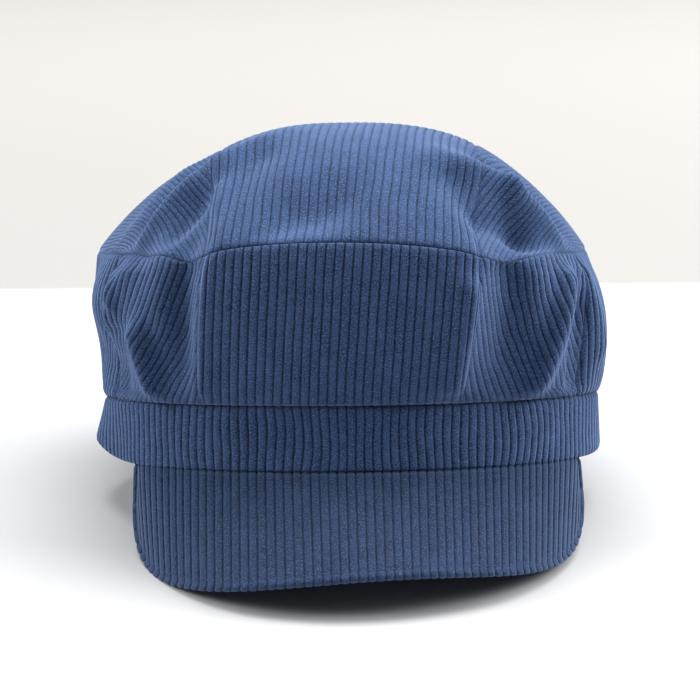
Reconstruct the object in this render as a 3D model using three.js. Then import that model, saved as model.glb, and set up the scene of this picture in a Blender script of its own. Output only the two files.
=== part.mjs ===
import * as THREE from 'three';

// A baker boy hat in wide corduroy, resting on the rear of its rim and on the two lower corners of its peak.
// It is worked out in its own frame first: the lower rim of the headband is the plane z = 0, the front
// faces -Y, +Z is up. Lengths are millimetres and angles are degrees, counted from the front round by +X.

// Headband, as the soft hat lies, spread a little sideways
const BAND_WIDTH = 213;
const BAND_DEPTH = 150;
const BAND_HEIGHT = 26;
const BAND_WALL = 2.6;
const BAND_SWAY = 6;

// Crown: eight walls under a domed tip of three pieces
const CLOTH = 1.8;
const WALL_HEIGHT = 66;
const WALL_ROLL = 3;
const WALL_ROLL_HEIGHT = 5;
const WALL_BULGE = 5;
const TIP_WIDTH = 187;
const TIP_DEPTH = 178;
const STRIP_WIDTH = 108;
const SIDE_EDGE = 74;
const DOME_RISE = 50;
const FOLD_DEPTH = 9;
const CROWN_TWIST = 6;

// Peak: the arc of the headband that it is sewn to, and its slopes below the plane of the rim
const PEAK_ARC = 125;
const PEAK_LENGTH = 53;
const PEAK_SIDE = 12;
const PEAK_THICKNESS = 3.6;
const PEAK_SLOPE = 47;
const PEAK_END_SLOPE = 72;

// Clearance between sewn pieces, and how far the soft edges flatten where the hat rests
const GAP = 0.3;
const SETTLE = 1.2;

// Cells of the mesh, as many on one side of a seam as on the other
const CELL = 7.5;
const BAND_CELL = 10;
const WALL_ROWS = Math.round(WALL_HEIGHT / CELL);
const STRIP_COLUMNS = Math.round(STRIP_WIDTH / CELL);
const SIDE_COLUMNS = Math.round(Math.hypot(TIP_WIDTH - STRIP_WIDTH, TIP_DEPTH - SIDE_EDGE) / (2 * CELL));
const TIP_ROWS = Math.round(TIP_DEPTH / CELL);

// Shape without a size of its own
const DOME_POWER = 2.9;
const TIP_FOLD_FADE = 8;
const TIP_FOLD_RISE = 1.2;
const BULGE_POWER = 1.2;
const BULGE_FRONT = 0.5;
const BULGE_SIDE = 0.9;
const ROLL_FADE = 6;
const WALL_FOLD_FADE_LOW = 0.083;
const WALL_FOLD_FADE_HIGH = 0.125;
const WALL_PROPORTION = 1.25;
const ROW_CROWDING = 1.15;
const CORNER_SOFTNESS = 0.4;
const PEAK_SQUARENESS = 2;
const PEAK_FAN = 0.1;
const PEAK_SKEW = -0.08;
const PEAK_CORNER = 0.33;

// The eight corners of the crown's seam, seen from above, from the front left one round by +X. rise is a
// share of the wall height, bandAngle is where the wall seam below the corner meets the headband, and arch is
// how far the seam bows up on its way to the next corner, as a share of the wall height.
const CORNERS = [
  { across: -0.5 * STRIP_WIDTH, along: -0.5 * TIP_DEPTH, rise: 0.93, bandAngle: -31, arch: 0.07 },
  { across: 0.5 * STRIP_WIDTH, along: -0.5 * TIP_DEPTH, rise: 0.91, bandAngle: 27, arch: 0 },
  { across: 0.5 * TIP_WIDTH, along: -0.5 * SIDE_EDGE, rise: 0.92, bandAngle: 66, arch: 0 },
  { across: 0.54 * TIP_WIDTH, along: 0.5 * SIDE_EDGE, rise: 0.94, bandAngle: 112, arch: 0 },
  { across: 0.5 * STRIP_WIDTH, along: 0.5 * TIP_DEPTH, rise: 0.98, bandAngle: 152, arch: 0.03 },
  { across: -0.5 * STRIP_WIDTH, along: 0.5 * TIP_DEPTH, rise: 0.98, bandAngle: 208, arch: 0 },
  { across: -0.6 * TIP_WIDTH, along: 0.45 * SIDE_EDGE, rise: 0.95, bandAngle: 248, arch: 0 },
  { across: -0.5 * TIP_WIDTH, along: -0.5 * SIDE_EDGE, rise: 0.93, bandAngle: 292, arch: 0 },
];

// Waves of the headband round one angle each. foot, waist and head push out its lower rim, its middle and
// its upper rim, and lift raises its lower rim, all as shares of BAND_SWAY.
const BAND_WAVES = [
  { at: -74, spread: 14, foot: -0.5, waist: 0.0, head: -0.3, lift: 0.0 },
  { at: -97, spread: 14, foot: 0.9, waist: 0.0, head: 0.0, lift: 1.2 },
  { at: -14, spread: 13, foot: 0.0, waist: -0.5, head: 0.0, lift: 0.0 },
  { at: 40, spread: 10, foot: 0.0, waist: 0.2, head: -0.1, lift: 0.0 },
  { at: 95, spread: 16, foot: 0.4, waist: 0.0, head: 0.2, lift: 0.4 },
  { at: 150, spread: 16, foot: -0.2, waist: -0.4, head: 0.0, lift: 0.0 },
  { at: 205, spread: 12, foot: 0.0, waist: -0.4, head: 0.2, lift: 0.0 },
];

// Folds of the walls. Ends are a place in corners of the crown and a share of the wall height, width is
// half the fold's width as a share of the wall height, push is a share of FOLD_DEPTH, outwards positive.
const WALL_FOLDS = [
  { from: [7.9, 0.95], to: [7.82, 0.12], width: 0.19, push: -0.9 },
  { from: [7.5, 0.45], to: [7.67, 0.05], width: 0.11, push: 0.5 },
  { from: [7.3, 0.9], to: [7.08, 0.6], width: 0.14, push: 0.5 },
  { from: [7.02, 0.95], to: [6.9, 0.5], width: 0.12, push: -0.45 },
  { from: [6.65, 0.34], to: [7.2, 0.2], width: 0.22, push: -0.65 },
  { from: [8.02, 0.95], to: [8.0, 0.1], width: 0.08, push: 0.25 },
  { from: [0.95, 0.75], to: [0.95, 0.1], width: 0.1, push: 0.35 },
  { from: [1.2, 0.9], to: [1.25, 0.35], width: 0.22, push: -0.75 },
  { from: [1.74, 0.8], to: [1.5, 0.05], width: 0.11, push: 0.6 },
  { from: [1.9, 0.6], to: [1.95, 0.15], width: 0.13, push: -0.5 },
  { from: [2.05, 0.85], to: [2.2, 0.35], width: 0.12, push: 0.3 },
  { from: [2.6, 0.9], to: [2.7, 0.1], width: 0.2, push: -0.5 },
  { from: [3.3, 0.9], to: [3.2, 0.2], width: 0.22, push: -0.6 },
  { from: [4.1, 0.95], to: [4.0, 0.15], width: 0.18, push: -0.5 },
  { from: [4.9, 0.9], to: [5.05, 0.1], width: 0.18, push: -0.6 },
  { from: [5.6, 0.9], to: [5.75, 0.2], width: 0.22, push: -0.6 },
  { from: [6.4, 0.85], to: [6.3, 0.15], width: 0.2, push: -0.4 },
];

// Folds of the tip. Ends are shares of half the tip's width and depth in the plan, width is half the
// fold's width as a share of half the tip's width, push is a share of FOLD_DEPTH, outwards positive.
const TIP_FOLDS = [
  { from: [-0.62, -0.66], to: [-0.78, -0.8], width: 0.14, push: -1.0 },
  { from: [-0.92, -0.5], to: [-0.62, -0.5], width: 0.09, push: 0.3 },
  { from: [-0.6, -0.5], to: [-0.3, -0.42], width: 0.09, push: 0.3 },
  { from: [-0.86, -0.36], to: [-0.62, -0.34], width: 0.08, push: -0.35 },
  { from: [-0.98, -0.2], to: [-0.78, -0.12], width: 0.1, push: 0.3 },
  { from: [-0.95, 0.1], to: [-0.6, 0.15], width: 0.22, push: -0.55 },
  { from: [0.69, -0.84], to: [0.84, -0.8], width: 0.13, push: -0.9 },
  { from: [0.36, -0.7], to: [0.82, -0.66], width: 0.09, push: 0.4 },
  { from: [0.4, -0.84], to: [0.5, -1.0], width: 0.1, push: -0.4 },
  { from: [-0.38, -0.97], to: [-0.14, -0.97], width: 0.08, push: -0.5 },
  { from: [-0.44, -0.62], to: [-0.56, -0.8], width: 0.1, push: -0.35 },
  { from: [0.75, 0.05], to: [0.9, 0.3], width: 0.14, push: -0.5 },
  { from: [0.55, 0.7], to: [0.7, 0.75], width: 0.14, push: -0.7 },
  { from: [-0.6, 0.72], to: [-0.75, 0.7], width: 0.14, push: -0.7 },
  { from: [-0.1, 0.8], to: [0.15, 0.9], width: 0.16, push: -0.5 },
];

const WALLS = [
  { name: 'wall_front', columns: STRIP_COLUMNS },
  { name: 'wall_front_right', columns: SIDE_COLUMNS },
  { name: 'wall_right', columns: TIP_ROWS },
  { name: 'wall_back_right', columns: SIDE_COLUMNS },
  { name: 'wall_back', columns: STRIP_COLUMNS },
  { name: 'wall_back_left', columns: SIDE_COLUMNS },
  { name: 'wall_left', columns: TIP_ROWS },
  { name: 'wall_front_left', columns: SIDE_COLUMNS },
];

// Pieces of the tip. Corners are places on the rim, seams are the sides, 0 left and 1 right, on another piece.
const TIP_PIECES = [
  { name: 'tip_centre', columns: STRIP_COLUMNS, front: [0, 1], back: [5, 4], seams: [0, 1] },
  { name: 'tip_left', columns: SIDE_COLUMNS, front: [7, 8], back: [6, 5], seams: [1] },
  { name: 'tip_right', columns: SIDE_COLUMNS, front: [1, 2], back: [4, 3], seams: [0] },
];

const { degToRad, radToDeg, lerp, clamp, euclideanModulo } = THREE.MathUtils;

// Weight from 0 to 1 of a fold that runs from one point to another in a plane
function foldWeight(x, y, [fromX, fromY], [toX, toY], width) {
  const runX = toX - fromX;
  const runY = toY - fromY;
  const along = clamp(((x - fromX) * runX + (y - fromY) * runY) / (runX ** 2 + runY ** 2), 0, 1);
  const away = Math.hypot(x - fromX - runX * along, y - fromY - runY * along);
  return Math.exp(-((away / width) ** 2));
}

// Point on the headband at an angle and a share of its height, inset from the outside
function bandPoint(angle, share, inset) {
  const turn = degToRad(angle);
  const out = new THREE.Vector3(BAND_DEPTH * Math.sin(turn), -BAND_WIDTH * Math.cos(turn), 0).normalize();
  let push = 0;
  let lift = 0;
  for (const wave of BAND_WAVES) {
    const away = euclideanModulo(angle - wave.at + 180, 360) - 180;
    const weight = Math.exp(-((away / wave.spread) ** 2));
    push += weight * (lerp(wave.foot, wave.head, share) + wave.waist * Math.sin(Math.PI * share));
    lift += weight * lerp(wave.lift, 0, share);
  }
  const x = 0.5 * BAND_WIDTH * Math.sin(turn);
  const y = -0.5 * BAND_DEPTH * Math.cos(turn);
  const point = new THREE.Vector3(x, y, share * BAND_HEIGHT + lift * BAND_SWAY);
  return point.addScaledVector(out, push * BAND_SWAY - inset);
}

function cornerRow(index) {
  return CORNERS[euclideanModulo(index, CORNERS.length)];
}

function cornerPoint(index) {
  const corner = cornerRow(index);
  return new THREE.Vector3(corner.across, corner.along, BAND_HEIGHT + WALL_HEIGHT * corner.rise);
}

// The seam between walls and tip, a smooth closed curve through the corners
function rimPoint(place) {
  const index = Math.floor(place);
  const share = place - index;
  const start = cornerPoint(index);
  const end = cornerPoint(index + 1);
  const leave = end.clone().sub(cornerPoint(index - 1)).multiplyScalar(CORNER_SOFTNESS);
  const arrive = cornerPoint(index + 2).sub(start).multiplyScalar(CORNER_SOFTNESS);
  const square = share ** 2;
  const cube = share ** 3;
  const point = start.multiplyScalar(2 * cube - 3 * square + 1)
    .addScaledVector(leave, cube - 2 * square + share)
    .addScaledVector(end, 3 * square - 2 * cube)
    .addScaledVector(arrive, cube - square);
  point.z += WALL_HEIGHT * cornerRow(index).arch * Math.sin(Math.PI * share);
  return point.applyAxisAngle(new THREE.Vector3(0, 0, 1), -degToRad(CROWN_TWIST));
}

// Where the wall at a place round the crown meets the headband
function bandAngle(place) {
  const index = Math.floor(place);
  const start = cornerRow(index).bandAngle;
  const step = euclideanModulo(cornerRow(index + 1).bandAngle - start, 360);
  return start + step * (place - index) - CROWN_TWIST;
}

// Level direction away from the middle of the headband
function outwards(point) {
  return new THREE.Vector3(point.x / BAND_WIDTH ** 2, point.y / BAND_DEPTH ** 2, 0).normalize();
}

// Outside of the wall without its folds, at a place round the crown and a share of its height
function wallShape(place, share) {
  const foot = bandPoint(bandAngle(place), 1, GAP);
  foot.z += GAP;
  const point = foot.lerp(rimPoint(place), share);
  const out = outwards(point);
  const roll = (1 - Math.exp(-share * WALL_HEIGHT / WALL_ROLL_HEIGHT)) * (1 - share ** ROLL_FADE);
  const bulge = lerp(BULGE_FRONT, BULGE_SIDE, out.x ** 2) * Math.sin(Math.PI * share ** BULGE_POWER);
  return point.addScaledVector(out, WALL_ROLL * roll + WALL_BULGE * bulge);
}

function wallPoint(place, share) {
  let folds = 0;
  for (const { from, to, width, push } of WALL_FOLDS) {
    const half = CORNERS.length / 2;
    const near = euclideanModulo(place - from[0] + half, CORNERS.length) - half;
    const end = [(to[0] - from[0]) * WALL_PROPORTION, to[1]];
    folds += push * foldWeight(near * WALL_PROPORTION, share, [0, from[1]], end, width);
  }
  const held = Math.min(1, share / WALL_FOLD_FADE_LOW, (1 - share) / WALL_FOLD_FADE_HIGH);
  const point = wallShape(place, share);
  return point.addScaledVector(outwards(point), FOLD_DEPTH * folds * held);
}

// Place on the rim in the direction of a point of the plan, found by halving
function rimPlace(x, y) {
  const angleFrom = (point, base) => euclideanModulo(Math.atan2(point.x, -point.y) - base, 2 * Math.PI);
  const start = rimPoint(-0.5);
  const base = Math.atan2(start.x, -start.y);
  const goal = angleFrom({ x, y }, base);
  let low = -0.5;
  let high = CORNERS.length - 0.5;
  for (let step = 0; step < 30; step += 1) {
    const middle = (low + high) / 2;
    if (angleFrom(rimPoint(middle), base) < goal) {
      low = middle;
    } else {
      high = middle;
    }
  }
  return low;
}

// Share of the way from the middle of the plan to the rim
function tipReach(x, y) {
  const rim = rimPoint(rimPlace(x, y));
  return Math.hypot(x, y) / Math.hypot(rim.x, rim.y);
}

// Outside of the tip without its folds, above a point of the plan
function tipShape(x, y) {
  const edge = rimPoint(rimPlace(x, y)).z;
  const summit = BAND_HEIGHT + WALL_HEIGHT + DOME_RISE;
  return new THREE.Vector3(x, y, lerp(summit, edge, tipReach(x, y) ** DOME_POWER));
}

function tipPoint(x, y) {
  const across = x / (0.5 * TIP_WIDTH);
  const along = y / (0.5 * TIP_DEPTH);
  let folds = 0;
  for (const { from, to, width, push } of TIP_FOLDS) {
    folds += push * foldWeight(across, along, from, to, width);
  }
  const held = Math.max(0, 1 - tipReach(x, y) ** TIP_FOLD_FADE);
  const out = new THREE.Vector3(across, along, TIP_FOLD_RISE).normalize();
  return tipShape(x, y).addScaledVector(out, FOLD_DEPTH * folds * held);
}

// Unit normal of a surface of two parameters, from a small step to each side
function normalOf(surface, u, v, stepU, stepV) {
  const alongU = surface(u + stepU, v).sub(surface(u - stepU, v));
  const alongV = surface(u, v + stepV).sub(surface(u, v - stepV));
  return alongU.cross(alongV).normalize();
}

const wallNormal = (surface, place, share) => normalOf(surface, place, share, 0.02, 0.01);
const tipNormal = (surface, x, y) => normalOf(surface, x, y, 0.5, 0.5);

// Step from outside to inside on the rim, the same for the wall below and the tip above
function mitre(place) {
  const rim = rimPoint(place);
  const wall = wallNormal(wallShape, place, 0.99);
  const tip = tipNormal(tipShape, rim.x * 0.99, rim.y * 0.99);
  return wall.clone().add(tip).multiplyScalar(-CLOTH / (1 + wall.dot(tip)));
}

// Step of half the clearance away from a seam, square to its run and to the way through the cloth
function seamStep(start, end, inward, side) {
  return end.clone().sub(start).cross(inward).setLength(-side * 0.5 * GAP);
}

// The same step across the rim, 1 to the side of the walls and -1 to the side of the tip
function rimStep(place, side) {
  return seamStep(rimPoint(place - 0.01), rimPoint(place + 0.01), mitre(place), side);
}

// A closed slab: a box whose two large faces are bent onto the outside and the inside of a piece
function slab(columns, rows, place) {
  const geometry = new THREE.BoxGeometry(1, 1, 1, columns, rows, 1);
  const position = geometry.attributes.position;
  for (let i = 0; i < position.count; i += 1) {
    const u = Math.round((position.getX(i) + 0.5) * columns) / columns;
    const v = Math.round((position.getY(i) + 0.5) * rows) / rows;
    const { point, inward } = place(u, v);
    if (position.getZ(i) < 0) {
      point.add(inward);
    }
    position.setXYZ(i, point.x, point.y, point.z);
  }
  geometry.computeVertexNormals();
  return geometry;
}

// Step from outside to inside of a wall. On a seam it takes no part in the folds, so that both sides agree.
function wallInward(place, share) {
  if (share === 1) {
    return mitre(place);
  }
  if (share === 0) {
    return wallNormal(wallShape, place, 0.5).setZ(0).setLength(CLOTH).negate();
  }
  const surface = Number.isInteger(place) ? wallShape : wallPoint;
  return wallNormal(surface, place, share).multiplyScalar(-CLOTH);
}

function wallPanel(index, columns) {
  return slab(columns, WALL_ROWS, (u, v) => {
    const place = index + u;
    const share = v ** ROW_CROWDING;
    const point = wallPoint(place, share);
    const inward = wallInward(place, share);
    if (u === 0 || u === 1) {
      const below = wallPoint(place, Math.max(0, share - 0.01));
      const above = wallPoint(place, Math.min(1, share + 0.01));
      point.add(seamStep(below, above, inward, u === 0 ? 1 : -1));
    }
    if (v === 1) {
      point.add(rimStep(place, 1));
    }
    return { point, inward };
  });
}

// Plan of an edge of a tip piece between two places on the rim: a straight seam, or the rim itself
function tipEdge(from, to, straight) {
  if (straight) {
    return (share) => rimPoint(from).lerp(rimPoint(to), share);
  }
  return (share) => rimPoint(lerp(from, to, share));
}

function tipPiece({ columns, front, back, seams }) {
  const left = tipEdge(front[0], back[0], seams.includes(0));
  const right = tipEdge(front[1], back[1], seams.includes(1));
  const near = tipEdge(front[0], front[1], false);
  const far = tipEdge(back[0], back[1], false);
  const planAt = (u, v) => left(v).multiplyScalar(1 - u).addScaledVector(right(v), u)
    .addScaledVector(near(u), 1 - v).addScaledVector(far(u), v)
    .addScaledVector(near(0), -(1 - u) * (1 - v)).addScaledVector(near(1), -u * (1 - v))
    .addScaledVector(far(0), -(1 - u) * v).addScaledVector(far(1), -u * v);
  return slab(columns, TIP_ROWS, (u, v) => {
    const plan = planAt(u, v);
    const point = tipPoint(plan.x, plan.y);
    const onSeam = seams.includes(u);
    const onRim = v === 0 || v === 1 || (!onSeam && (u === 0 || u === 1));
    const place = rimPlace(plan.x, plan.y);
    const surface = onSeam ? tipShape : tipPoint;
    const inward = onRim ? mitre(place) : tipNormal(surface, plan.x, plan.y).multiplyScalar(-CLOTH);
    if (onSeam) {
      const before = planAt(u, Math.max(0, v - 0.01));
      const after = planAt(u, Math.min(1, v + 0.01));
      const side = u === 0 ? 1 : -1;
      point.add(seamStep(tipPoint(before.x, before.y), tipPoint(after.x, after.y), inward, side));
    }
    if (onRim) {
      point.add(rimStep(place, -1));
    }
    return { point, inward };
  });
}

// The headband: a closed profile turned round an axis, then bent onto the band's outline
function headband() {
  const outerRadius = 2;
  const innerRadius = 1;
  const outer = [0, 0.25, 0.5, 0.75, 1].map((share) => new THREE.Vector2(outerRadius, share));
  const inner = [1, 0.5, 0].map((share) => new THREE.Vector2(innerRadius, share));
  const steps = Math.round(Math.PI * BAND_WIDTH / BAND_CELL);
  const geometry = new THREE.LatheGeometry([...outer, ...inner, outer[0].clone()], steps);
  const position = geometry.attributes.position;
  for (let i = 0; i < position.count; i += 1) {
    const x = position.getX(i);
    const z = position.getZ(i);
    const inset = Math.hypot(x, z) > (outerRadius + innerRadius) / 2 ? 0 : BAND_WALL;
    const point = bandPoint(radToDeg(Math.atan2(x, z)), position.getY(i), inset);
    position.setXYZ(i, point.x, point.y, point.z);
  }
  geometry.computeVertexNormals();
  return geometry;
}

// Place on the peak: u from its left to its right end, v from the seam to the free edge
function peakPlace(u, v) {
  const turn = lerp(-0.5 * Math.PI, 0.5 * Math.PI, u);
  const power = 2 / PEAK_SQUARENESS;
  const edge = Math.sign(turn) * Math.abs(Math.sin(turn)) ** power;
  const across = lerp(2 * u - 1, edge, v);
  const trim = 1 + PEAK_SKEW * edge + PEAK_CORNER * edge ** 2;
  const length = trim * lerp(PEAK_SIDE, PEAK_LENGTH, Math.max(0, Math.cos(turn)) ** power);
  const angle = across * 0.5 * PEAK_ARC;
  const out = new THREE.Vector3(PEAK_FAN * Math.sin(degToRad(angle)), 0, 0);
  out.y = -lerp(1, Math.cos(degToRad(angle)), PEAK_FAN);
  out.normalize();
  const slope = degToRad(lerp(PEAK_SLOPE, PEAK_END_SLOPE, across ** 2));
  const point = bandPoint(angle, 0, 0).addScaledVector(out, v * length * Math.cos(slope));
  point.z -= GAP + v * length * Math.sin(slope);
  const inward = out.clone().multiplyScalar(v === 0 ? -BAND_WALL : -PEAK_THICKNESS * Math.sin(slope));
  inward.z = v === 0 ? 0 : -PEAK_THICKNESS * Math.cos(slope);
  return { point, inward };
}

function peak() {
  const columns = Math.round(BAND_WIDTH * degToRad(0.5 * PEAK_ARC) / CELL);
  return slab(columns, Math.round(PEAK_LENGTH / CELL), (u, v) => peakPlace(u, 1 - v));
}

// Tilt at which the rear of the rim and the lowest corner of the peak stand on one plane
function restTilt() {
  const steps = 60;
  let tilt = 0;
  for (let step = 0; step <= steps; step += 1) {
    const { point, inward } = peakPlace(step / steps, 1);
    point.add(inward);
    tilt = Math.max(tilt, Math.atan2(-point.z, 0.5 * BAND_DEPTH - point.y));
  }
  return tilt;
}

// Stand a piece up as the hat rests, and flatten the soft edge that would sink into the surface
function rest(geometry, tilt) {
  geometry.translate(0, -0.5 * BAND_DEPTH, 0);
  geometry.rotateX(-tilt);
  geometry.translate(0, 0, -SETTLE);
  const position = geometry.attributes.position;
  for (let i = 0; i < position.count; i += 1) {
    position.setZ(i, Math.max(0, position.getZ(i)));
  }
  return geometry;
}

const hat = new THREE.Group();
const tilt = restTilt();

function add(name, geometry, color) {
  const material = new THREE.MeshStandardMaterial({ color, roughness: 0.95, metalness: 0 });
  const mesh = new THREE.Mesh(rest(geometry, tilt), material);
  mesh.name = name;
  hat.add(mesh);
}

WALLS.forEach(({ name, columns }, index) => add(name, wallPanel(index, columns), '#3a5584'));
TIP_PIECES.forEach((piece) => add(piece.name, tipPiece(piece), '#41608f'));
add('headband', headband(), '#38527f');
add('peak', peak(), '#3d5a89');

// The origin is the middle of the hat's box, on the surface that it stands on
const middle = new THREE.Box3().setFromObject(hat).getCenter(new THREE.Vector3());
hat.position.set(-middle.x, -middle.y, 0);

export default hat;
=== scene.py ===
"""Baker boy hat in wide blue corduroy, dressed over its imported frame.

The surfaces are the ones that the solids are made from, worked out again in a fine grid: the headband, eight
walls, the domed tip in three pieces and the peak. Lengths are millimetres and angles are degrees until a mesh
is made. The wales of the corduroy are raised in the mesh and carried on in the material by the UV map, whose
unit is one millimetre of cloth: across the wales and along them.
"""

import math

import bmesh
import bpy
import numpy as np
from mathutils import Matrix, Vector


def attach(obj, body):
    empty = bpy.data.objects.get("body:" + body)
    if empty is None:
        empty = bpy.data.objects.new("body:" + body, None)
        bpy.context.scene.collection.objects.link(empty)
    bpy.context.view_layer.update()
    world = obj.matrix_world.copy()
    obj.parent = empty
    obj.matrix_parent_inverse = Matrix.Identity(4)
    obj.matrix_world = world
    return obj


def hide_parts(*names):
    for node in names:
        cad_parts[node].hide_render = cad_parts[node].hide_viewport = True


bl_info = {
    "name": "Baker Boy Hat",
    "version": (1, 0, 0),
    "blender": (4, 5, 0),
    "location": "View3D > Sidebar > Hat",
    "description": "Builds a corduroy baker boy hat on its frame, with a plain studio stage",
    "category": "Object",
}

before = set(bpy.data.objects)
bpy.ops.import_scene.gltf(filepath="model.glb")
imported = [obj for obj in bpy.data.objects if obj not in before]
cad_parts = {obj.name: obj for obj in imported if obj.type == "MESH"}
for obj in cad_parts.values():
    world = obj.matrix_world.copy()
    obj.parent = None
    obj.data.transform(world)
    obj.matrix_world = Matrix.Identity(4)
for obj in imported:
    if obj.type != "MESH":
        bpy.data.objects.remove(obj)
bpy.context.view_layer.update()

MM = 0.001

# Headband, crown and peak, with the sizes of the solids
BAND_WIDTH = 213
BAND_DEPTH = 150
BAND_HEIGHT = 26
BAND_WALL = 2.6
BAND_SWAY = 6
CLOTH = 1.8
WALL_HEIGHT = 66
WALL_ROLL = 3
WALL_ROLL_HEIGHT = 5
WALL_BULGE = 5
TIP_WIDTH = 187
TIP_DEPTH = 178
STRIP_WIDTH = 108
SIDE_EDGE = 74
DOME_RISE = 50
FOLD_DEPTH = 9
CROWN_TWIST = 6
PEAK_ARC = 125
PEAK_LENGTH = 53
PEAK_SIDE = 12
PEAK_THICKNESS = 3.6
PEAK_SLOPE = 47
PEAK_END_SLOPE = 72
SETTLE = 1.2

# Shape without a size of its own
DOME_POWER = 2.9
TIP_FOLD_FADE = 8
TIP_CREASE_FADE = 24
RIM_SAG_REACH = 0.84
TIP_FOLD_RISE = 1.2
BULGE_POWER = 1.2
BULGE_FRONT = 0.5
BULGE_SIDE = 0.9
ROLL_FADE = 6
WALL_FOLD_FADE_LOW = 0.083
WALL_FOLD_FADE_HIGH = 0.125
WALL_CREASE_FADE = 0.05
WALL_PROPORTION = 1.25
CORNER_SOFTNESS = 0.4
PEAK_FAN = 0.1
PEAK_SKEW = -0.08
PEAK_CORNER = 0.33

# Corners of the crown's seam, from the front left one round by +X: across and along the plan, rise as a
# share of the wall height, the angle of the wall seam at the headband, and the bow of the seam that follows
CORNERS = np.array([
    (-0.5 * STRIP_WIDTH, -0.5 * TIP_DEPTH, 0.93, -31, 0.07),
    (0.5 * STRIP_WIDTH, -0.5 * TIP_DEPTH, 0.91, 27, 0),
    (0.5 * TIP_WIDTH, -0.5 * SIDE_EDGE, 0.92, 66, 0),
    (0.54 * TIP_WIDTH, 0.5 * SIDE_EDGE, 0.94, 112, 0),
    (0.5 * STRIP_WIDTH, 0.5 * TIP_DEPTH, 0.98, 152, 0.03),
    (-0.5 * STRIP_WIDTH, 0.5 * TIP_DEPTH, 0.98, 208, 0),
    (-0.6 * TIP_WIDTH, 0.45 * SIDE_EDGE, 0.95, 248, 0),
    (-0.5 * TIP_WIDTH, -0.5 * SIDE_EDGE, 0.93, 292, 0),
])

# Waves of the headband: angle, spread, push of the lower rim, the middle and the upper rim, lift
BAND_WAVES = [
    (-74, 14, -0.5, 0.0, -0.3, 0.0),
    (-97, 14, 0.9, 0.0, 0.0, 1.2),
    (-14, 13, 0.0, -0.5, 0.0, 0.0),
    (40, 10, 0.0, 0.2, -0.1, 0.0),
    (95, 16, 0.4, 0.0, 0.2, 0.4),
    (150, 16, -0.2, -0.4, 0.0, 0.0),
    (205, 12, 0.0, -0.4, 0.2, 0.0),
]

# Folds of the walls: place and share of the height at each end, half width, push
WALL_FOLDS = [
    (7.88, 0.98, 7.83, 0.35, 0.18, -0.8),
    (7.5, 0.45, 7.67, 0.05, 0.11, 0.5),
    (7.3, 0.9, 7.08, 0.6, 0.14, 0.5),
    (7.02, 0.95, 6.9, 0.5, 0.12, -0.45),
    (6.65, 0.34, 7.2, 0.2, 0.22, -0.65),
    (8.02, 0.95, 8.0, 0.1, 0.08, 0.25),
    (0.95, 0.75, 0.95, 0.1, 0.1, 0.35),
    (1.2, 0.9, 1.25, 0.35, 0.22, -0.75),
    (1.74, 0.8, 1.5, 0.05, 0.11, 0.6),
    (1.9, 0.6, 1.95, 0.15, 0.13, -0.5),
    (2.05, 0.85, 2.2, 0.35, 0.12, 0.3),
    (2.6, 0.9, 2.7, 0.1, 0.2, -0.5),
    (3.3, 0.9, 3.2, 0.2, 0.22, -0.6),
    (4.1, 0.95, 4.0, 0.15, 0.18, -0.5),
    (4.9, 0.9, 5.05, 0.1, 0.18, -0.6),
    (5.6, 0.9, 5.75, 0.2, 0.22, -0.6),
    (6.4, 0.85, 6.3, 0.15, 0.2, -0.4),
]

# Folds of the tip: across and along the plan at each end, half width, push
TIP_FOLDS = [
    (-0.73, -0.68, -0.84, -0.74, 0.11, -0.65),
    (-0.92, -0.5, -0.62, -0.5, 0.09, 0.3),
    (-0.6, -0.5, -0.3, -0.42, 0.09, 0.18),
    (-0.86, -0.36, -0.62, -0.34, 0.08, -0.35),
    (-0.98, -0.2, -0.78, -0.12, 0.1, 0.3),
    (-0.95, 0.1, -0.6, 0.15, 0.22, -0.55),
    (0.69, -0.86, 0.84, -0.8, 0.1, -0.65),
    (0.36, -0.7, 0.82, -0.66, 0.09, 0.4),
    (0.4, -0.84, 0.5, -1.0, 0.1, -0.4),
    (-0.38, -0.97, -0.14, -0.97, 0.08, -0.5),
    (-0.44, -0.62, -0.56, -0.8, 0.1, -0.35),
    (0.75, 0.05, 0.9, 0.3, 0.14, -0.5),
    (0.55, 0.7, 0.7, 0.75, 0.14, -0.7),
    (-0.6, 0.72, -0.75, 0.7, 0.14, -0.7),
    (-0.1, 0.8, 0.15, 0.9, 0.16, -0.5),
]

# Creases in the cloth, finer than the folds of the solids, in the same columns
WALL_CREASES = [
    (7.62, 0.5, 7.72, 0.1, 0.08, -0.16),
    (7.48, 0.46, 7.61, 0.08, 0.085, 0.15),
    (7.83, 0.9, 7.84, 0.5, 0.1, -0.25),
    (7.12, 0.95, 7.21, 0.67, 0.06, 0.25),
    (1.24, 0.9, 1.3, 0.5, 0.13, -0.3),
    (1.69, 0.84, 1.46, 0.1, 0.085, 0.15),
    (0.97, 0.7, 0.95, 0.15, 0.06, 0.14),
    (1.8, 0.5, 1.85, 0.15, 0.07, -0.3),
]
TIP_CREASES = [
    (-0.71, -0.66, -0.8, -0.68, 0.06, -0.35),
    (-0.95, -0.5, -0.72, -0.54, 0.05, 0.4),
    (-0.58, -0.53, -0.4, -0.5, 0.06, 0.15),
    (-0.6, -0.95, -0.61, -0.68, 0.035, 0.2),
    (-0.9, -0.33, -0.72, -0.2, 0.08, -0.4),
    (0.5, -0.9, 0.7, -0.82, 0.07, -0.6),
    (0.7, -0.82, 0.84, -0.74, 0.055, -0.45),
    (0.41, -0.74, 0.64, -0.7, 0.05, 0.35),
    (0.64, -0.7, 0.86, -0.63, 0.05, 0.45),
    (0.58, -0.5, 0.9, -0.42, 0.08, -0.4),
    (-0.3, -0.93, -0.1, -0.9, 0.1, -0.35),
]

# Wave of the peak's edge: share across, spread, millimetres
PEAK_WAVE = (0.12, 0.42, -2.4)

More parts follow.
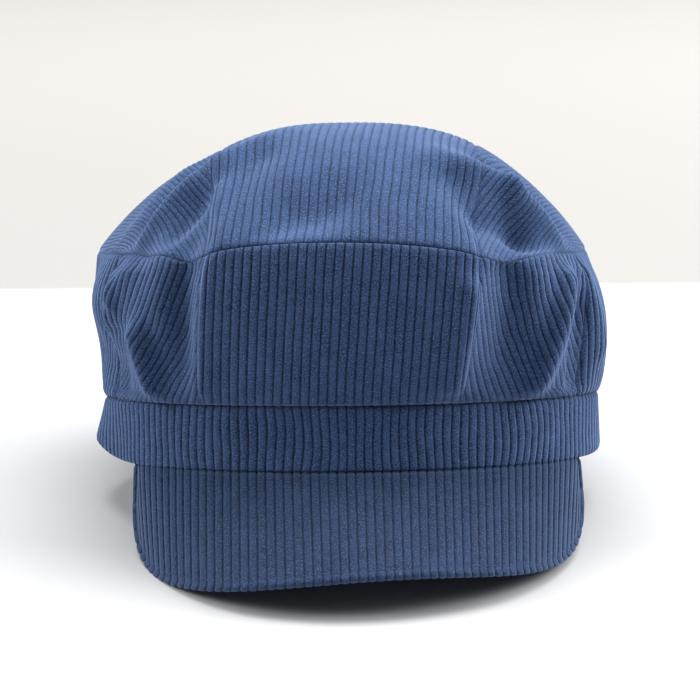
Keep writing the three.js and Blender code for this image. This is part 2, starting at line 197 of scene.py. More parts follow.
# Sags of the crown's seam: place, spread, millimetres inwards, millimetres down
RIM_SAGS = [
    (7.83, 0.15, 6.5, 3.4),
    (7.45, 0.12, 1.0, 1.2),
    (1.24, 0.2, 5.5, 3.0),
]

# Walls in order round the crown: node, lean of its wales from upright in degrees, and the share of its
# width where they keep that lean
WALLS = [
    ("wall_front", -1.6, 0.5),
    ("wall_front_right", -20, 0.0),
    ("wall_right", -10, 0.0),
    ("wall_back_right", 0, 0.5),
    ("wall_back", 0, 0.5),
    ("wall_back_left", 0, 0.5),
    ("wall_left", 10, 1.0),
    ("wall_front_left", 20, 1.0),
]

# Pieces of the tip: node, front corners, back corners, which sides are seams, lean of its wales
TIP_PIECES = [
    ("tip_centre", (0, 1), (5, 4), (True, True), 3),
    ("tip_left", (7, 8), (6, 5), (False, True), -28),
    ("tip_right", (1, 2), (4, 3), (True, False), 28),
]

# Fine grid, and how many of its cells one cell of the plain inside covers
ACROSS_STEP = 0.5
ALONG_STEP = 1.0
INSIDE_CELLS = 8
ROLL_ROWS = 8

# A seam draws the cloth in by this depth over this width, and the peak runs on under the headband
SEAM_DEPTH = 0.8
SEAM_SPREAD = 1.0
PEAK_TUCK = 2.5

# Depth of the other seams as a share of that depth
WALL_FOOT_SEAM = 0.3
BAND_HEAD_SEAM = 1.3
BAND_FOOT_SEAM = 0.6
PEAK_SEAM = 1.2

# Unevenness of the wales: millimetres sideways and share of their height, each over a length
WALE_SWAY, WALE_SWAY_LENGTH = 0.2, 30
WALE_UNEVENNESS, WALE_UNEVENNESS_LENGTH = 0.2, 9
WALE_SEED = 7

# Sway of the headband's wales: millimetres, waves round the band, waves up it, phase
BAND_SWAYS = [
    (0.8, 7, 1, 0),
    (0.25, 17, 2, 1),
]

# Lengths that the tip's grids are divided by
TIP_SIDE_WIDTH = 92
TIP_RUN = 1.15 * TIP_DEPTH

# Wales of the peak: slant in degrees, share of the spread they keep towards the edge, and the share of the
# width and the millimetres over which they fade at its sides and its edge
PEAK_WALE_SLANT = 8
PEAK_WALE_SPREAD = 0.35
PEAK_WALE_SIDE_FADE = 0.06
PEAK_WALE_EDGE_FADE = 2.5
PEAK_WALE_EDGE_LOSS = 0.55

# Groove along the peak's edge: depth, distance from the edge, half width
PEAK_EDGE_GROOVE = (0.3, 1.6, 0.7)

# Stitches run across this share of the peak, this far under the top of its pile
STITCHED_SHARE = 0.93
STITCH_SINK = 0.35

# Cloth of each group: the walls' share of the colours, which is painted shade for the light on them; then the
# width of the painted shade along a seam, and the darkness of the grooves
WALL_PAINTED_SHADE = 0.92
WALL_SEAM_SHADE_AND_GROOVES = (1.3, 1.0)
TIP_SEAM_SHADE_AND_GROOVES = (0.6, 0.8)
BAND_SEAM_SHADE_AND_GROOVES = (0.4, 1.0)
PEAK_SEAM_SHADE_AND_GROOVES = (0.8, 0.9)

# Stage in metres: the floor, the backdrop's bounds and its shares of the floor's colour, the camera's target
# and the places of the lamps, with the left one's share of the right one's power
FLOOR_REACH = 8.0
BACKDROP_EDGE = (0.288, 0.296)
BACKDROP_RISE = (0.3, 1.3)
BACKDROP_LOW = (0.69, 0.67, 0.635)
BACKDROP_HIGH = (0.9, 0.87, 0.82)
CAMERA_TARGET = (-0.0012, 0, 0.0675)
OVERHEAD_PLACE, OVERHEAD_TARGET = (0.3, 0.62, 2.4), (0.3, 0, 0)
SIDE_REACH, SIDE_DEPTH, SIDE_HEIGHT, SIDE_SIZE = 1.7, 0.1, 1.2, 1.2
SIDE_TARGET = (0, 0, 0.05)
LEFT_POWER = 0.75


def lerp(a, b, t):
    return a + (b - a) * t


def unit(v):
    return v / np.maximum(np.linalg.norm(v, axis=-1, keepdims=True), 1e-9)


def stack(x, y, z):
    return np.stack(np.broadcast_arrays(x, y, z), -1).astype(float)


def fold_weight(x, y, start_x, start_y, end_x, end_y, width):
    run_x, run_y = end_x - start_x, end_y - start_y
    along = np.clip(((x - start_x) * run_x + (y - start_y) * run_y) / (run_x ** 2 + run_y ** 2), 0, 1)
    away = np.hypot(x - start_x - run_x * along, y - start_y - run_y * along)
    return np.exp(-((away / width) ** 2))


def band_point(angle, share):
    """Point on the headband at an angle and a share of its height."""
    turn = np.radians(angle)
    out = unit(stack(BAND_DEPTH * np.sin(turn), -BAND_WIDTH * np.cos(turn), 0))
    push = 0
    lift = 0
    for at, spread, foot, waist, head, rise in BAND_WAVES:
        away = (angle - at + 180) % 360 - 180
        weight = np.exp(-((away / spread) ** 2))
        push = push + weight * (lerp(foot, head, share) + waist * np.sin(np.pi * share))
        lift = lift + weight * rise * (1 - share)
    point = stack(
        0.5 * BAND_WIDTH * np.sin(turn),
        -0.5 * BAND_DEPTH * np.cos(turn),
        share * BAND_HEIGHT + lift * BAND_SWAY,
    )
    return point + out * (push * BAND_SWAY)[..., None]


def corner_point(index):
    row = CORNERS[index % len(CORNERS)]
    return stack(row[..., 0], row[..., 1], BAND_HEIGHT + WALL_HEIGHT * row[..., 2])


def rim_point(place):
    """The seam between walls and tip, a smooth closed curve through the corners."""
    place = np.asarray(place, float)
    index = np.floor(place).astype(int)
    share = (place - index)[..., None]
    start, end = corner_point(index), corner_point(index + 1)
    leave = (end - corner_point(index - 1)) * CORNER_SOFTNESS
    arrive = (corner_point(index + 2) - start) * CORNER_SOFTNESS
    square, cube = share ** 2, share ** 3
    point = start * (2 * cube - 3 * square + 1) + leave * (cube - 2 * square + share)
    point = point + end * (3 * square - 2 * cube) + arrive * (cube - square)
    point[..., 2] += WALL_HEIGHT * CORNERS[index % len(CORNERS), 4] * np.sin(np.pi * share[..., 0])
    turn = math.radians(-CROWN_TWIST)
    x, y = point[..., 0].copy(), point[..., 1].copy()
    point[..., 0] = x * math.cos(turn) - y * math.sin(turn)
    point[..., 1] = x * math.sin(turn) + y * math.cos(turn)
    return point


def band_angle(place):
    index = np.floor(place).astype(int)
    start = CORNERS[index % len(CORNERS), 3]
    step = (CORNERS[(index + 1) % len(CORNERS), 3] - start) % 360
    return start + step * (place - index) - CROWN_TWIST


def outwards(point):
    return unit(stack(point[..., 0] / BAND_WIDTH ** 2, point[..., 1] / BAND_DEPTH ** 2, 0))


def rim_sag(place, point):
    """How far the seam of the crown gives way at a place on it."""
    out = outwards(point)
    count = len(CORNERS)
    sag = np.zeros_like(point)
    for at, spread, inwards, down in RIM_SAGS:
        near = (place - at + count / 2) % count - count / 2
        weight = np.exp(-((near / spread) ** 2))[..., None]
        sag = sag - weight * (out * inwards + stack(0, 0, down))
    return sag


def wall_point(place, share):
    """Outside of the wall at a place round the crown and a share of its height."""
    point = lerp(band_point(band_angle(place), np.ones_like(share)), rim_point(place), share[..., None])
    out = outwards(point)
    roll = (1 - np.exp(-share * WALL_HEIGHT / WALL_ROLL_HEIGHT)) * (1 - share ** ROLL_FADE)
    bulge = lerp(BULGE_FRONT, BULGE_SIDE, out[..., 0] ** 2) * np.sin(np.pi * share ** BULGE_POWER)
    folds = 0
    count = len(CORNERS)
    for table, fade in ((WALL_FOLDS, WALL_FOLD_FADE_HIGH), (WALL_CREASES, WALL_CREASE_FADE)):
        held = np.minimum(1, np.minimum(share / WALL_FOLD_FADE_LOW, (1 - share) / fade))
        for from_place, from_share, to_place, to_share, width, push in table:
            near = (place - from_place + count / 2) % count - count / 2
            end = (to_place - from_place) * WALL_PROPORTION
            weight = fold_weight(near * WALL_PROPORTION, share, 0, from_share, end, to_share, width)
            folds = folds + held * push * weight
    shape = point + out * (WALL_ROLL * roll + WALL_BULGE * bulge)[..., None]
    drawn = np.clip(1 - (1 - share) / WALL_FOLD_FADE_HIGH, 0, 1)
    shape = shape + rim_sag(place, rim_point(place)) * drawn[..., None]
    return shape + outwards(shape) * (FOLD_DEPTH * folds)[..., None]


RIM_PLACES = np.linspace(-0.5, len(CORNERS) - 0.5, 8001)
RIM_POINTS = rim_point(RIM_PLACES)
RIM_TURNS = np.unwrap(np.arctan2(RIM_POINTS[:, 0], -RIM_POINTS[:, 1]))


def tip_point(plan):
    """Outside of the tip above points of the plan."""
    x, y = plan[..., 0], plan[..., 1]
    turn = (np.arctan2(x, -y) - RIM_TURNS[0]) % (2 * np.pi) + RIM_TURNS[0]
    place = np.interp(turn, RIM_TURNS, RIM_PLACES)
    rim = rim_point(place)
    reach = np.hypot(x, y) / np.hypot(rim[..., 0], rim[..., 1])
    height = lerp(BAND_HEIGHT + WALL_HEIGHT + DOME_RISE, rim[..., 2], reach ** DOME_POWER)
    across, along = x / (0.5 * TIP_WIDTH), y / (0.5 * TIP_DEPTH)
    folds = 0
    for table, fade in ((TIP_FOLDS, TIP_FOLD_FADE), (TIP_CREASES, TIP_CREASE_FADE)):
        held = np.maximum(0, 1 - reach ** fade)
        for from_x, from_y, to_x, to_y, width, push in table:
            folds = folds + held * push * fold_weight(across, along, from_x, from_y, to_x, to_y, width)
    out = unit(stack(across, along, TIP_FOLD_RISE))
    edge = np.clip((reach - RIM_SAG_REACH) / (1 - RIM_SAG_REACH), 0, 1)
    sag = rim_sag(place, rim) * (edge * edge * (3 - 2 * edge))[..., None]
    return stack(x, y, height) + sag + out * (FOLD_DEPTH * folds)[..., None]


def peak_outline(across):
    """Length of the peak from its seam to its free edge."""
    trim = 1 + PEAK_SKEW * across + PEAK_CORNER * across ** 2
    length = trim * lerp(PEAK_SIDE, PEAK_LENGTH, np.sqrt(np.maximum(0, 1 - across ** 2)))
    at, spread, push = PEAK_WAVE
    return length + push * np.exp(-(((across - at) / spread) ** 2))


def peak_way(across):
    """Direction in plan away from the peak's seam, and how steeply the peak falls there."""
    turn = np.radians(across * 0.5 * PEAK_ARC)
    out = unit(stack(PEAK_FAN * np.sin(turn), -lerp(1, np.cos(turn), PEAK_FAN), 0))
    return out, np.radians(lerp(PEAK_SLOPE, PEAK_END_SLOPE, across ** 2))


def peak_point(across, reach):
    """Top of the peak at a share across it and a length from its seam."""
    out, slope = peak_way(across)
    angle = across * 0.5 * PEAK_ARC
    point = band_point(angle, np.zeros_like(angle)) + out * (reach * np.cos(slope))[..., None]
    point[..., 2] -= reach * np.sin(slope)
    return point


def peak_through(across):
    """Direction from the top of the peak to its underside."""
    out, slope = peak_way(across)
    return -out * np.sin(slope)[..., None] - stack(0, 0, np.cos(slope))


def rest_tilt():
    """Tilt at which the rear of the rim and the lowest corner of the peak stand on one plane."""
    across = np.sin(np.linspace(-0.5, 0.5, 61) * np.pi)
    point = peak_point(across, peak_outline(across)) + peak_through(across) * PEAK_THICKNESS
    return float(np.max(np.arctan2(-point[:, 2], 0.5 * BAND_DEPTH - point[:, 1])))


TILT = rest_tilt()


def rest(point):
    """Stand points up as the hat rests."""
    y = point[..., 1] - 0.5 * BAND_DEPTH
    z = point[..., 2]
    turned_y = y * math.cos(TILT) + z * math.sin(TILT)
    turned_z = -y * math.sin(TILT) + z * math.cos(TILT) - SETTLE
    return stack(point[..., 0], turned_y, np.maximum(turned_z, 0))


def hat_middle():
    """Middle of the hat's plan before it is moved to the origin."""
    place, share = np.meshgrid(np.linspace(0, 8, 321), np.linspace(0, 1, 23))
    points = [rest(wall_point(place, share)).reshape(-1, 3)]
    across = np.linspace(-1, 1, 81)
    points.append(rest(peak_point(across, peak_outline(across))))
    angle, height = np.meshgrid(np.linspace(-180, 180, 181), np.linspace(0, 1, 5))
    points.append(rest(band_point(angle, height)).reshape(-1, 3))
    points = np.concatenate(points)
    return 0.5 * (points.min(0) + points.max(0))[:2]


MIDDLE = hat_middle()


def to_scene(point):
    """Points of the hat in metres, in the row frame."""
    placed = rest(point)
    placed[..., :2] -= MIDDLE
    return placed * MM


def arc_lengths(points, axis):
    """Length of the way along a grid's rows or columns, from its start."""
    steps = np.linalg.norm(np.diff(points, axis=axis), axis=-1)
    zero = np.zeros_like(np.take(steps, [0], axis=axis))
    return np.concatenate([zero, np.cumsum(steps, axis=axis)], axis=axis)


def grid_normals(points, closed=False):
    """Unit normals of a grid of points, outwards where its columns run right and its rows run up."""
    if closed:
        ring = points[:, :-1]
        across = np.roll(ring, -1, 1) - np.roll(ring, 1, 1)
        across = np.concatenate([across, across[:, :1]], 1)
    else:
        across = np.gradient(points, axis=1)
    return unit(np.cross(across, np.gradient(points, axis=0)))


def wale_size():
    """Pitch and height of the wales in millimetres."""
    settings = bpy.context.scene.hat_cloth
    return settings.wale_pitch / MM, settings.wale_height / MM


def wale_profile(across, pitch):
    """Height of a wale from 0 in the groove to 1 on its back."""
    place = np.abs((across / pitch) % 1 - 0.5) * 2
    return 1 - place ** 4


def cells(length, step):
    return max(1, round(length / step / INSIDE_CELLS)) * INSIDE_CELLS


def soft_noise(x, y, seed, scale):
    """Smooth unevenness from -1 to 1, made of a few turned waves."""
    rng = np.random.default_rng(seed)
    total = 0
    for _ in range(5):
        turn, phase = rng.uniform(0, 2 * np.pi, 2)
        length = scale * rng.uniform(0.7, 1.6)
        total = total + np.sin((x * np.cos(turn) + y * np.sin(turn)) * 2 * np.pi / length + phase)
    return total / 5


class Sheet:
    """Vertices, faces and UVs of one piece, put together from grids."""

    def __init__(self):
        self.points = []
        self.faces = []
        self.uvs = []
        self.smooth = []
        self.wear = []
        self.count = 0

    def add_points(self, points, wear=0.0):
        flat = points.reshape(-1, 3)
        first = self.count
        self.points.append(flat)
        self.wear.append(np.broadcast_to(wear, points.shape[:-1]).ravel())
        self.count += len(flat)
        return first + np.arange(len(flat)).reshape(points.shape[:-1])

    def add_quads(self, index, uv, flip=False, smooth=True):
        corners = [(0, 0), (0, 1), (1, 1), (1, 0)]
        if flip:
            corners.reverse()
        rows, columns = index.shape[0] - 1, index.shape[1] - 1
        quads = np.stack([index[i:i + rows, j:j + columns] for i, j in corners], -1)
        maps = np.stack([uv[i:i + rows, j:j + columns] for i, j in corners], -2)
        self.faces.append(quads.reshape(-1, 4))
        self.uvs.append(maps.reshape(-1, 4, 2))
        self.smooth.append(np.full(len(self.faces[-1]), smooth))

    def add_side(self, outer, inner, outer_uv, flip=False):
        """A strip of many-sided faces from a fine edge to a coarse one."""
        for k in range(len(inner) - 1):
            span = slice(k * INSIDE_CELLS, (k + 1) * INSIDE_CELLS + 1)
            ring = list(outer[span]) + [inner[k + 1], inner[k]]
            uv = np.concatenate([outer_uv[span], outer_uv[span][[-1, 0]]])
            if flip:
                ring = ring[::-1]
                uv = uv[::-1]
            self.faces.append(np.array(ring)[None])
            self.uvs.append(uv[None])
            self.smooth.append(np.array([False]))

    def build(self, node, merge=False):
        name = node + "_cloth"
        points = np.concatenate(self.points)
        loops = np.concatenate([f.ravel() for f in self.faces])
        totals = np.concatenate([np.full(len(f), f.shape[1]) for f in self.faces])
        mesh = bpy.data.meshes.new(name)
        mesh.vertices.add(len(points))
        mesh.vertices.foreach_set("co", to_scene(points).ravel())
        mesh.loops.add(len(loops))
        mesh.loops.foreach_set("vertex_index", loops)
        mesh.polygons.add(len(totals))
        mesh.polygons.foreach_set("loop_start", np.concatenate([[0], np.cumsum(totals)[:-1]]))
        mesh.polygons.foreach_set("use_smooth", np.concatenate(self.smooth))
        uv_map = mesh.uv_layers.new(name="Cloth")
        uv_map.uv.foreach_set("vector", np.concatenate([u.reshape(-1, 2) for u in self.uvs]).ravel())
        wear = mesh.attributes.new("wear", "FLOAT", "POINT")
        wear.data.foreach_set("value", np.concatenate(self.wear))
        mesh.update(calc_edges=True)
        if merge:
            work = bmesh.new()
            work.from_mesh(mesh)
            bmesh.ops.remove_doubles(work, verts=work.verts, dist=2e-6)
            work.to_mesh(mesh)
            work.free()
        mesh.validate()
        return place_object(name, mesh)


def cloth_piece(name, base, across, along, seam, seam_way, thickness, closed=False):
    """A piece of cloth: a fine outside with its wales, a plain inside, and edges between them.

    Near a seam the cloth sinks along seam_way, which is the same for the pieces on both sides of it.
    """
    normal = grid_normals(base, closed)
    pitch, height = wale_size()
    near = np.clip(seam / SEAM_DEPTH, 0, 1)
    if not closed:
        across = across + WALE_SWAY * soft_noise(across, along, len(name), WALE_SWAY_LENGTH)
    uneven = 1 + WALE_UNEVENNESS * soft_noise(across, along, WALE_SEED, WALE_UNEVENNESS_LENGTH)
    wales = (wale_profile(across, pitch) - 1) * uneven
    lift = height * wales * (1 - near ** 2) - seam
    outside = base + unit(lerp(normal, seam_way, near[..., None])) * lift[..., None]
    inside = (base - normal * thickness)[::INSIDE_CELLS, ::INSIDE_CELLS]
    uv = np.stack([across, along], -1)
    sheet = Sheet()
    if closed:
        outer = sheet.add_points(outside[:, :-1])
        outer = np.concatenate([outer, outer[:, :1]], 1)
        inner = sheet.add_points(inside[:, :-1])
        inner = np.concatenate([inner, inner[:, :1]], 1)
    else:
        outer = sheet.add_points(outside)
        inner = sheet.add_points(inside)
    sheet.add_quads(outer, uv)
    sheet.add_quads(inner, uv[::INSIDE_CELLS, ::INSIDE_CELLS], flip=True)
    sheet.add_side(outer[0], inner[0], uv[0], flip=True)
    sheet.add_side(outer[-1], inner[-1], uv[-1])
    if not closed:
        sheet.add_side(outer[:, 0], inner[:, 0], uv[:, 0])
        sheet.add_side(outer[:, -1], inner[:, -1], uv[:, -1], flip=True)
    return sheet.build(name)


def seam_dip(*distances):
    return SEAM_DEPTH * np.clip(sum(np.exp(-((d / SEAM_SPREAD) ** 2)) for d in distances), 0, 1.2)


def wall_piece(index):
    node, lean, keeps = WALLS[index]
    width = np.linalg.norm(rim_point(index + 1.0) - rim_point(float(index)))
    columns = cells(width, ACROSS_STEP)
    rows = cells(WALL_HEIGHT, ALONG_STEP)
    u, v = np.meshgrid(np.linspace(0, 1, columns + 1), np.linspace(0, 1, rows + 1))
    base = wall_point(index + u, v)
    arc = arc_lengths(base, 1)
    rise = arc_lengths(base, 0)
    start = arc[:, round(columns * keeps)][:, None]
    across = arc - start - math.tan(math.radians(lean)) * rise
    seam = seam_dip(arc, arc[:, -1:] - arc, rise[-1:] - rise) + WALL_FOOT_SEAM * seam_dip(rise)
    seam_way = unit(outwards(base) + stack(0, 0, v))
    return cloth_piece(node, base, across, rise, seam, seam_way, CLOTH)


def tip_plan(front, back, seams, columns, rows):
    """Grid of the plan between two front and two back places on the rim, with straight or round sides."""
    u, v = np.meshgrid(np.linspace(0, 1, columns + 1), np.linspace(0, 1, rows + 1))

    def side(start, end, straight, share):
        if straight:
            return lerp(rim_point(float(start)), rim_point(float(end)), share[..., None])
        return rim_point(lerp(start, end, share))

    left = side(front[0], back[0], seams[0], v)
    right = side(front[1], back[1], seams[1], v)
    near = side(front[0], front[1], False, u)
    far = side(back[0], back[1], False, u)
    u, v = u[..., None], v[..., None]
    corners = [rim_point(float(place)) for place in (front[0], front[1], back[0], back[1])]
    twist = lerp(lerp(corners[0], corners[1], u), lerp(corners[2], corners[3], u), v)
    return lerp(left, right, u) + lerp(near, far, v) - twist


def tip_piece(node, front, back, seams, lean):
    is_centre = all(seams)
    columns = cells(STRIP_WIDTH if is_centre else TIP_SIDE_WIDTH, ACROSS_STEP)
    rows = cells(TIP_RUN, ALONG_STEP)
    plan = tip_plan(front, back, seams, columns, rows)
    base = tip_point(plan)
    arc = arc_lengths(base, 1)
    run = arc_lengths(base, 0)
    if is_centre:
        start = arc[:, columns // 2][:, None]
    elif seams[1]:
        start = arc[:, -1:]
    else:
        start = 0
    across = arc - start - math.tan(math.radians(lean)) * run
    seam = seam_dip(arc, arc[:, -1:] - arc, run, run[-1:] - run)
    edge = np.hypot(plan[..., 0] / (0.5 * TIP_WIDTH), plan[..., 1] / (0.5 * TIP_DEPTH))
    seam_way = unit(outwards(base) * np.clip(edge, 0, 1)[..., None] ** 4 + stack(0, 0, 1))
    return cloth_piece(node, base, across, run, seam, seam_way, CLOTH)


def headband_piece():
    columns = cells(np.pi * 0.5 * (BAND_WIDTH + BAND_DEPTH), ACROSS_STEP)
    rows = cells(BAND_HEIGHT, ALONG_STEP)
    angle, share = np.meshgrid(np.linspace(180, 540, columns + 1), np.linspace(0, 1, rows + 1))
    base = band_point(angle, share)
    arc = arc_lengths(base, 1)
    arc = np.broadcast_to(arc[rows // 2], arc.shape)
    pitch = wale_size()[0]
    whole = round(arc[0, -1] / pitch) * pitch / arc[0, -1]
    rise = arc_lengths(base, 0)
    turn = np.radians(angle)
    across = arc * whole
    for push, round_waves, up_waves, phase in BAND_SWAYS:
        across = across + push * np.sin(turn * round_waves + phase) * np.sin(up_waves * np.pi * share)
    seam = BAND_HEAD_SEAM * seam_dip(rise[-1:] - rise) + BAND_FOOT_SEAM * seam_dip(rise)
    return cloth_piece("headband", base, across, rise, seam, outwards(base), BAND_WALL, closed=True)


def peak_rows(across, reach):
    """Top of the peak with its edge drawn in, so that half a roll fits round it, and the way off its edge."""
    roll = 0.5 * PEAK_THICKNESS
    step = 1e-3
    edge_ahead = peak_point(across + step, peak_outline(np.clip(across + step, -1, 1)))
    edge_behind = peak_point(across - step, peak_outline(np.clip(across - step, -1, 1)))
    run = unit(edge_ahead - edge_behind)
    away = unit(np.cross(run, peak_through(across)) * -1)
    sideways = np.clip((np.abs(across) - 0.9) / 0.1, 0, 1)[..., None] ** 2
    over = stack(np.sign(across), 0, 0)
    over = unit(over - peak_through(across) * np.sum(over * peak_through(across), -1, keepdims=True))
    share = np.clip(reach / peak_outline(across), 0, 1)[..., None]
    drawn = away * share ** 2 * (1 - sideways) + over * sideways
    return peak_point(across, reach) - drawn * roll, unit(lerp(away, over, sideways))


def peak_piece():
    """The covered peak: top, rolled edge and underside in one skin, closed at its sides and its seam."""
    pitch, height = wale_size()
    columns = cells(BAND_WIDTH * math.radians(0.5 * PEAK_ARC), ACROSS_STEP)
    even = np.linspace(-1, 1, columns + 1)
    spread = lerp(even, np.sin(0.5 * np.pi * even), 0.25)
    rows = round(PEAK_LENGTH / ALONG_STEP)
    across, share = np.meshgrid(spread, np.linspace(0, 1, rows + 1))
    reach = lerp(-PEAK_TUCK, peak_outline(across), share)
    top, away = peak_rows(across, reach)
    through = peak_through(across)
    bottom = top + through * PEAK_THICKNESS
    arc = arc_lengths(top, 1)
    arc = arc - arc[:, columns // 2][:, None]
    run = arc_lengths(top, 0)
    slant = math.tan(math.radians(PEAK_WALE_SLANT)) * np.clip(across + 0.2, 0, 1) * run
    wale = arc[:1] + PEAK_WALE_SPREAD * (arc - arc[:1]) + slant
    from_edge = run[-1:] - run
    fade = np.clip((1 - np.abs(across)) / PEAK_WALE_SIDE_FADE, 0, 1)
    fade = fade * (1 - PEAK_WALE_EDGE_LOSS * np.exp(-((from_edge / PEAK_WALE_EDGE_FADE) ** 2)))
    uneven = 1 + WALE_UNEVENNESS * soft_noise(wale, run, WALE_SEED, WALE_UNEVENNESS_LENGTH)
    rib = height * (wale_profile(wale, pitch) - 1) * fade * uneven
    depth, at, spread = PEAK_EDGE_GROOVE
    edge_groove = depth * np.exp(-((from_edge - at) / spread) ** 2)
    lift = rib - PEAK_SEAM * seam_dip(reach) - edge_groove
    top = top - through * lift[..., None]
    bottom = bottom + through * rib[..., None]
    turns = np.linspace(0, np.pi, ROLL_ROWS + 1)
    middle = 0.5 * (top[-1] + bottom[-1])
    half = 0.5 * (top[-1] - bottom[-1])
    size = np.linalg.norm(half, axis=-1, keepdims=True) + rib[-1][:, None]
    roll = [middle + half * math.cos(t) + away[-1] * size * math.sin(t) for t in turns[1:-1]]
    skin = np.concatenate([bottom, np.array(roll)[::-1], top[::-1]])
    round_edge = np.linspace(0, 0.5 * np.pi * PEAK_THICKNESS, ROLL_ROWS + 1)[1:-1]
    down = np.concatenate([run, run[-1] + round_edge[:, None], run[::-1] + round_edge[-1]])
    wales = np.concatenate([wale, np.broadcast_to(wale[-1], (ROLL_ROWS - 1, columns + 1)), wale[::-1]])
    worn = np.zeros(skin.shape[:2])
    worn[rows + 1:rows + ROLL_ROWS] = 1
    sheet = Sheet()
    index = sheet.add_points(skin, worn)
    uv = np.stack([wales, down], -1)
    sheet.add_quads(index, uv)
    ends = np.stack([index[-1], index[0]])
    sheet.add_quads(ends, np.stack([uv[-1], uv[0]]), smooth=False)
    for column in (0, -1):
        low, high = bottom[:, column], top[:, column]
        centre, reach = 0.5 * (low + high), 0.5 * (high - low)
        size = np.linalg.norm(reach, axis=-1, keepdims=True)
        bulge = away[:, column] * size
        cap = np.stack([centre + reach * math.cos(t) + bulge * math.sin(t) for t in turns], 1)
        cap_index = sheet.add_points(cap, 1.0)
        cap_uv = np.stack(np.broadcast_arrays(wale[:, column][:, None] + turns, run[:, column][:, None]), -1)
        sheet.add_quads(cap_index, cap_uv, flip=column == 0)
        end = cap_index[0] if column == 0 else cap_index[0][::-1]
        sheet.faces.append(end[None])
        sheet.uvs.append(np.zeros((1, len(end), 2)))
        sheet.smooth.append(np.array([False]))
    return sheet.build("peak", merge=True)


class Wire:
    """A socket of a node tree that can be used in Python sums."""

    def __init__(self, tree, socket):
        self.tree = tree
        self.socket = socket

    def node(self, kind, settings=None, **inputs):
        """New node; an input goes by its name with underscores for spaces, or by i and its number."""
        made = self.tree.nodes.new(kind)
        for key, value in (settings or {}).items():
            setattr(made, key, value)
        for key, value in inputs.items():
            name = key.replace("_", " ")
            socket = made.inputs[int(key[1:])] if key[0] == "i" and key[1:].isdigit() else made.inputs[name]
            self.feed(socket, value)
        return made

    def feed(self, socket, value):
        if isinstance(value, Wire):
            self.tree.links.new(value.socket, socket)
        else:
            socket.default_value = value

    def wire(self, socket):
        return Wire(self.tree, socket)

    def first(self, kind, settings=None, **inputs):
        """First output of a new node."""
        return self.wire(self.node(kind, settings, **inputs).outputs[0])

    def math(self, operation, *values):
        inputs = {f"i{k}": value for k, value in enumerate(values)}
        return self.first("ShaderNodeMath", {"operation": operation}, **inputs)

    def __add__(self, other):
        return self.math("ADD", self, other)

    __radd__ = __add__

    def __sub__(self, other):
        return self.math("SUBTRACT", self, other)

    def __rsub__(self, other):
        return self.math("SUBTRACT", other, self)

    def __mul__(self, other):
        return self.math("MULTIPLY", self, other)

    __rmul__ = __mul__

    def __truediv__(self, other):
        return self.math("DIVIDE", self, other)

    def __pow__(self, other):
        return self.math("POWER", self, other)

    def smooth(self, low, high):
        way = {"interpolation_type": "SMOOTHSTEP"}
        made = self.node("ShaderNodeMapRange", way, Value=self, From_Min=low, From_Max=high)
        return self.wire(made.outputs["Result"])

    def noise(self, place, scale, detail=2.0, roughness=0.5):
        values = {"Vector": place, "Scale": scale, "Detail": detail, "Roughness": roughness}
        return self.wire(self.node("ShaderNodeTexNoise", **values).outputs["Fac"])

    def mix(self, factor, first, second):
        made = self.node("ShaderNodeMix", {"data_type": "RGBA"}, Factor=factor, i6=first, i7=second)
        return self.wire(made.outputs[2])


